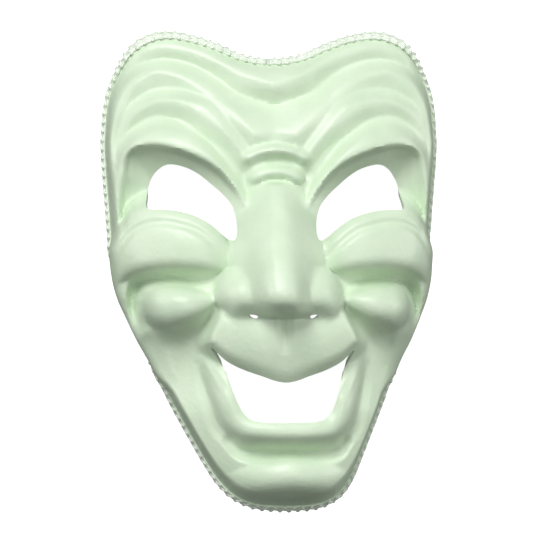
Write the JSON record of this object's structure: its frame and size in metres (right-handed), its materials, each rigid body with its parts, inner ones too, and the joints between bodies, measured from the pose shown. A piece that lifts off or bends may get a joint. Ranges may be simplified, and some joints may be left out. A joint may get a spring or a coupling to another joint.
{
  "type": "theatre mask",
  "caption": "Laughing comedy theatre mask, a thin moulded white shell with arched brows, long nose and open grin, its edge bound in scrolled braid",
  "frame": {"origin": "middle of the mask's box on the surface that it lies on", "axes": "+Z out of the face, +Y to the forehead, +X to the right as the face is seen"},
  "size_m": [0.1606, 0.2286, 0.0802],
  "materials": {
    "moulded_shell": "satin",
    "braid": "matte"
  },
  "bodies": {
    "root": {"mask_shell": "moulded_shell", "edge_braid": "braid"}
  },
  "joints": []
}
